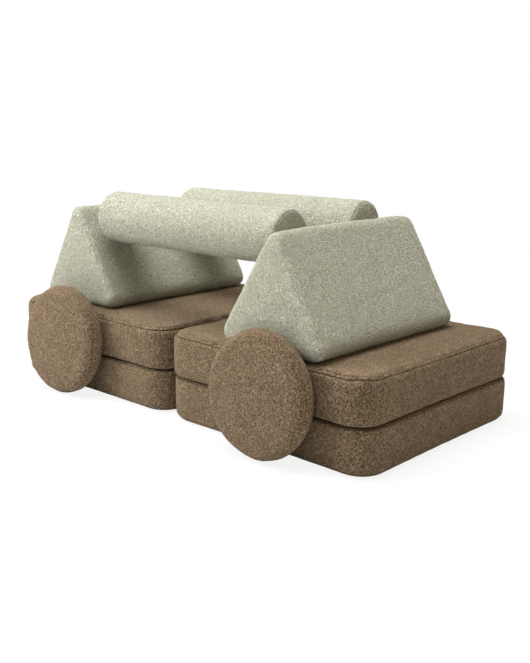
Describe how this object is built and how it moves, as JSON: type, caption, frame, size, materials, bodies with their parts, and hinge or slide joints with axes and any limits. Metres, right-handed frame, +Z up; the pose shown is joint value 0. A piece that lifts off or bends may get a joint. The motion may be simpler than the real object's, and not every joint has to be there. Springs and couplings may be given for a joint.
{
  "type": "modular foam play sofa",
  "caption": "Modular foam play sofa: stacked square cushions, triangular wedges bridged by rollers, and leaning round discs, each a zipped boucle cover on a foam block.",
  "frame": {"origin": "middle of the underside of the whole set's box, on the floor", "axes": "+X from the left stack to the right stack, +Y to the back, away from the leaning discs, +Z up"},
  "size_m": [1.5134, 0.8286, 0.6354],
  "materials": {
    "brown_boucle": "brown looped boucle fabric, matt",
    "sage_boucle": "sage green looped boucle fabric, matt",
    "foam": "open-cell cushion foam",
    "zip_tape": "woven tape",
    "zip_plastic": "moulded plastic, slightly shiny"
  },
  "bodies": {
    "right_lower": {"right_lower_cover": "brown_boucle", "right_lower_foam": "foam", "right_lower_zip_tape": "zip_tape", "right_lower_zip_teeth": "zip_plastic"},
    "right_lower_slider": {"right_lower_zip_slider": "zip_plastic"},
    "right_upper": {"right_upper_cover": "brown_boucle", "right_upper_foam": "foam", "right_upper_zip_tape": "zip_tape", "right_upper_zip_teeth": "zip_plastic"},
    "right_upper_slider": {"right_upper_zip_slider": "zip_plastic"},
    "left_lower": {"left_lower_cover": "brown_boucle", "left_lower_foam": "foam", "left_lower_zip_tape": "zip_tape", "left_lower_zip_teeth": "zip_plastic"},
    "left_lower_slider": {"left_lower_zip_slider": "zip_plastic"},
    "left_upper": {"left_upper_cover": "brown_boucle", "left_upper_foam": "foam", "left_upper_zip_tape": "zip_tape", "left_upper_zip_teeth": "zip_plastic"},
    "left_upper_slider": {"left_upper_zip_slider": "zip_plastic"},
    "right_wedge": {"right_wedge_cover": "sage_boucle", "right_wedge_foam": "foam", "right_wedge_zip_tape": "zip_tape", "right_wedge_zip_teeth": "zip_plastic"},
    "right_wedge_slider": {"right_wedge_zip_slider": "zip_plastic"},
    "left_wedge": {"left_wedge_cover": "sage_boucle", "left_wedge_foam": "foam", "left_wedge_zip_tape": "zip_tape", "left_wedge_zip_teeth": "zip_plastic"},
    "left_wedge_slider": {"left_wedge_zip_slider": "zip_plastic"},
    "front_roller": {"front_roller_cover": "sage_boucle", "front_roller_foam": "foam", "front_roller_zip_tape": "zip_tape", "front_roller_zip_teeth": "zip_plastic"},
    "front_roller_slider": {"front_roller_zip_slider": "zip_plastic"},
    "rear_roller": {"rear_roller_cover": "sage_boucle", "rear_roller_foam": "foam", "rear_roller_zip_tape": "zip_tape", "rear_roller_zip_teeth": "zip_plastic"},
    "rear_roller_slider": {"rear_roller_zip_slider": "zip_plastic"},
    "right_disc": {"right_disc_cover": "brown_boucle", "right_disc_foam": "foam", "right_disc_zip_tape": "zip_tape", "right_disc_zip_teeth": "zip_plastic"},
    "right_disc_slider": {"right_disc_zip_slider": "zip_plastic"},
    "left_disc": {"left_disc_cover": "brown_boucle", "left_disc_foam": "foam", "left_disc_zip_tape": "zip_tape", "left_disc_zip_teeth": "zip_plastic"},
    "left_disc_slider": {"left_disc_zip_slider": "zip_plastic"}
  },
  "joints": [
    {"name": "right_upper_lift", "type": "slide", "parent": "right_lower", "child": "right_upper", "axis": [0, 0.342, 0.9397], "range_m": [0, 0.3]},
    {"name": "right_wedge_lift", "type": "slide", "parent": "right_upper", "child": "right_wedge", "axis": [0, 0.1736, 0.9848], "range_m": [0, 0.25]},
    {"name": "front_roller_lift", "type": "slide", "parent": "right_wedge", "child": "front_roller", "axis": [0, 0, 1], "range_m": [0, 0.2]},
    {"name": "rear_roller_lift", "type": "slide", "parent": "right_wedge", "child": "rear_roller", "axis": [0, 0, 1], "range_m": [0, 0.2]},
    {"name": "left_stack_slide", "type": "slide", "parent": "right_lower", "child": "left_lower", "axis": [-1, 0, 0], "range_m": [0, 0.5]},
    {"name": "left_upper_lift", "type": "slide", "parent": "left_lower", "child": "left_upper", "axis": [-0.798, 0.2494, 0.5486], "range_m": [0, 0.3]},
    {"name": "left_wedge_lift", "type": "slide", "parent": "left_upper", "child": "left_wedge", "axis": [-0.8, 0, 0.6], "range_m": [0, 0.25]},
    {"name": "right_disc_tip", "type": "hinge", "parent": "right_lower", "child": "right_disc", "pos_m": [0.44028, -0.37783, 0.02919], "axis": [1, 0.0052, 0], "range_deg": [0, 82]},
    {"name": "left_disc_tip", "type": "hinge", "parent": "left_lower", "child": "left_disc", "pos_m": [-0.42248, -0.38281, 0.02934], "axis": [0.9991, 0.0419, 0], "range_deg": [0, 82]},
    {"name": "right_lower_zip", "type": "slide", "parent": "right_lower", "child": "right_lower_slider", "axis": [1, 0, 0], "range_m": [0, 0.524], "deforming": ["right_lower_zip_teeth"]},
    {"name": "right_upper_zip", "type": "slide", "parent": "right_upper", "child": "right_upper_slider", "axis": [1, -0.0087, 0], "range_m": [0, 0.524], "deforming": ["right_upper_zip_teeth"]},
    {"name": "left_lower_zip", "type": "slide", "parent": "left_lower", "child": "left_lower_slider", "axis": [0.9999, 0.014, 0], "range_m": [0, 0.524], "deforming": ["left_lower_zip_teeth"]},
    {"name": "left_upper_zip", "type": "slide", "parent": "left_upper", "child": "left_upper_slider", "axis": [0.9999, 0.014, 0], "range_m": [0, 0.524], "deforming": ["left_upper_zip_teeth"]},
    {"name": "right_wedge_zip", "type": "slide", "parent": "right_wedge", "child": "right_wedge_slider", "axis": [-0.0052, -1, 0], "range_m": [0, 0.5], "deforming": ["right_wedge_zip_teeth"]},
    {"name": "left_wedge_zip", "type": "slide", "parent": "left_wedge", "child": "left_wedge_slider", "axis": [0, -1, 0], "range_m": [0, 0.5], "deforming": ["left_wedge_zip_teeth"]},
    {"name": "front_roller_zip", "type": "slide", "parent": "front_roller", "child": "front_roller_slider", "axis": [-0.9981, -0.061, 0.0105], "range_m": [0, 0.655], "deforming": ["front_roller_zip_teeth"]},
    {"name": "rear_roller_zip", "type": "slide", "parent": "rear_roller", "child": "rear_roller_slider", "axis": [-0.9984, -0.0558, 0], "range_m": [0, 0.655], "deforming": ["rear_roller_zip_teeth"]},
    {"name": "right_disc_zip", "type": "hinge", "parent": "right_disc", "child": "right_disc_slider", "pos_m": [0.44019, -0.36063, 0.17428], "axis": [0.0052, -0.9968, 0.0802], "range_deg": [0, 95], "deforming": ["right_disc_zip_teeth"]},
    {"name": "left_disc_zip", "type": "hinge", "parent": "left_disc", "child": "left_disc_slider", "pos_m": [-0.42331, -0.3631, 0.17411], "axis": [0.0417, -0.9944, 0.0976], "range_deg": [0, 95], "deforming": ["left_disc_zip_teeth"]}
  ]
}
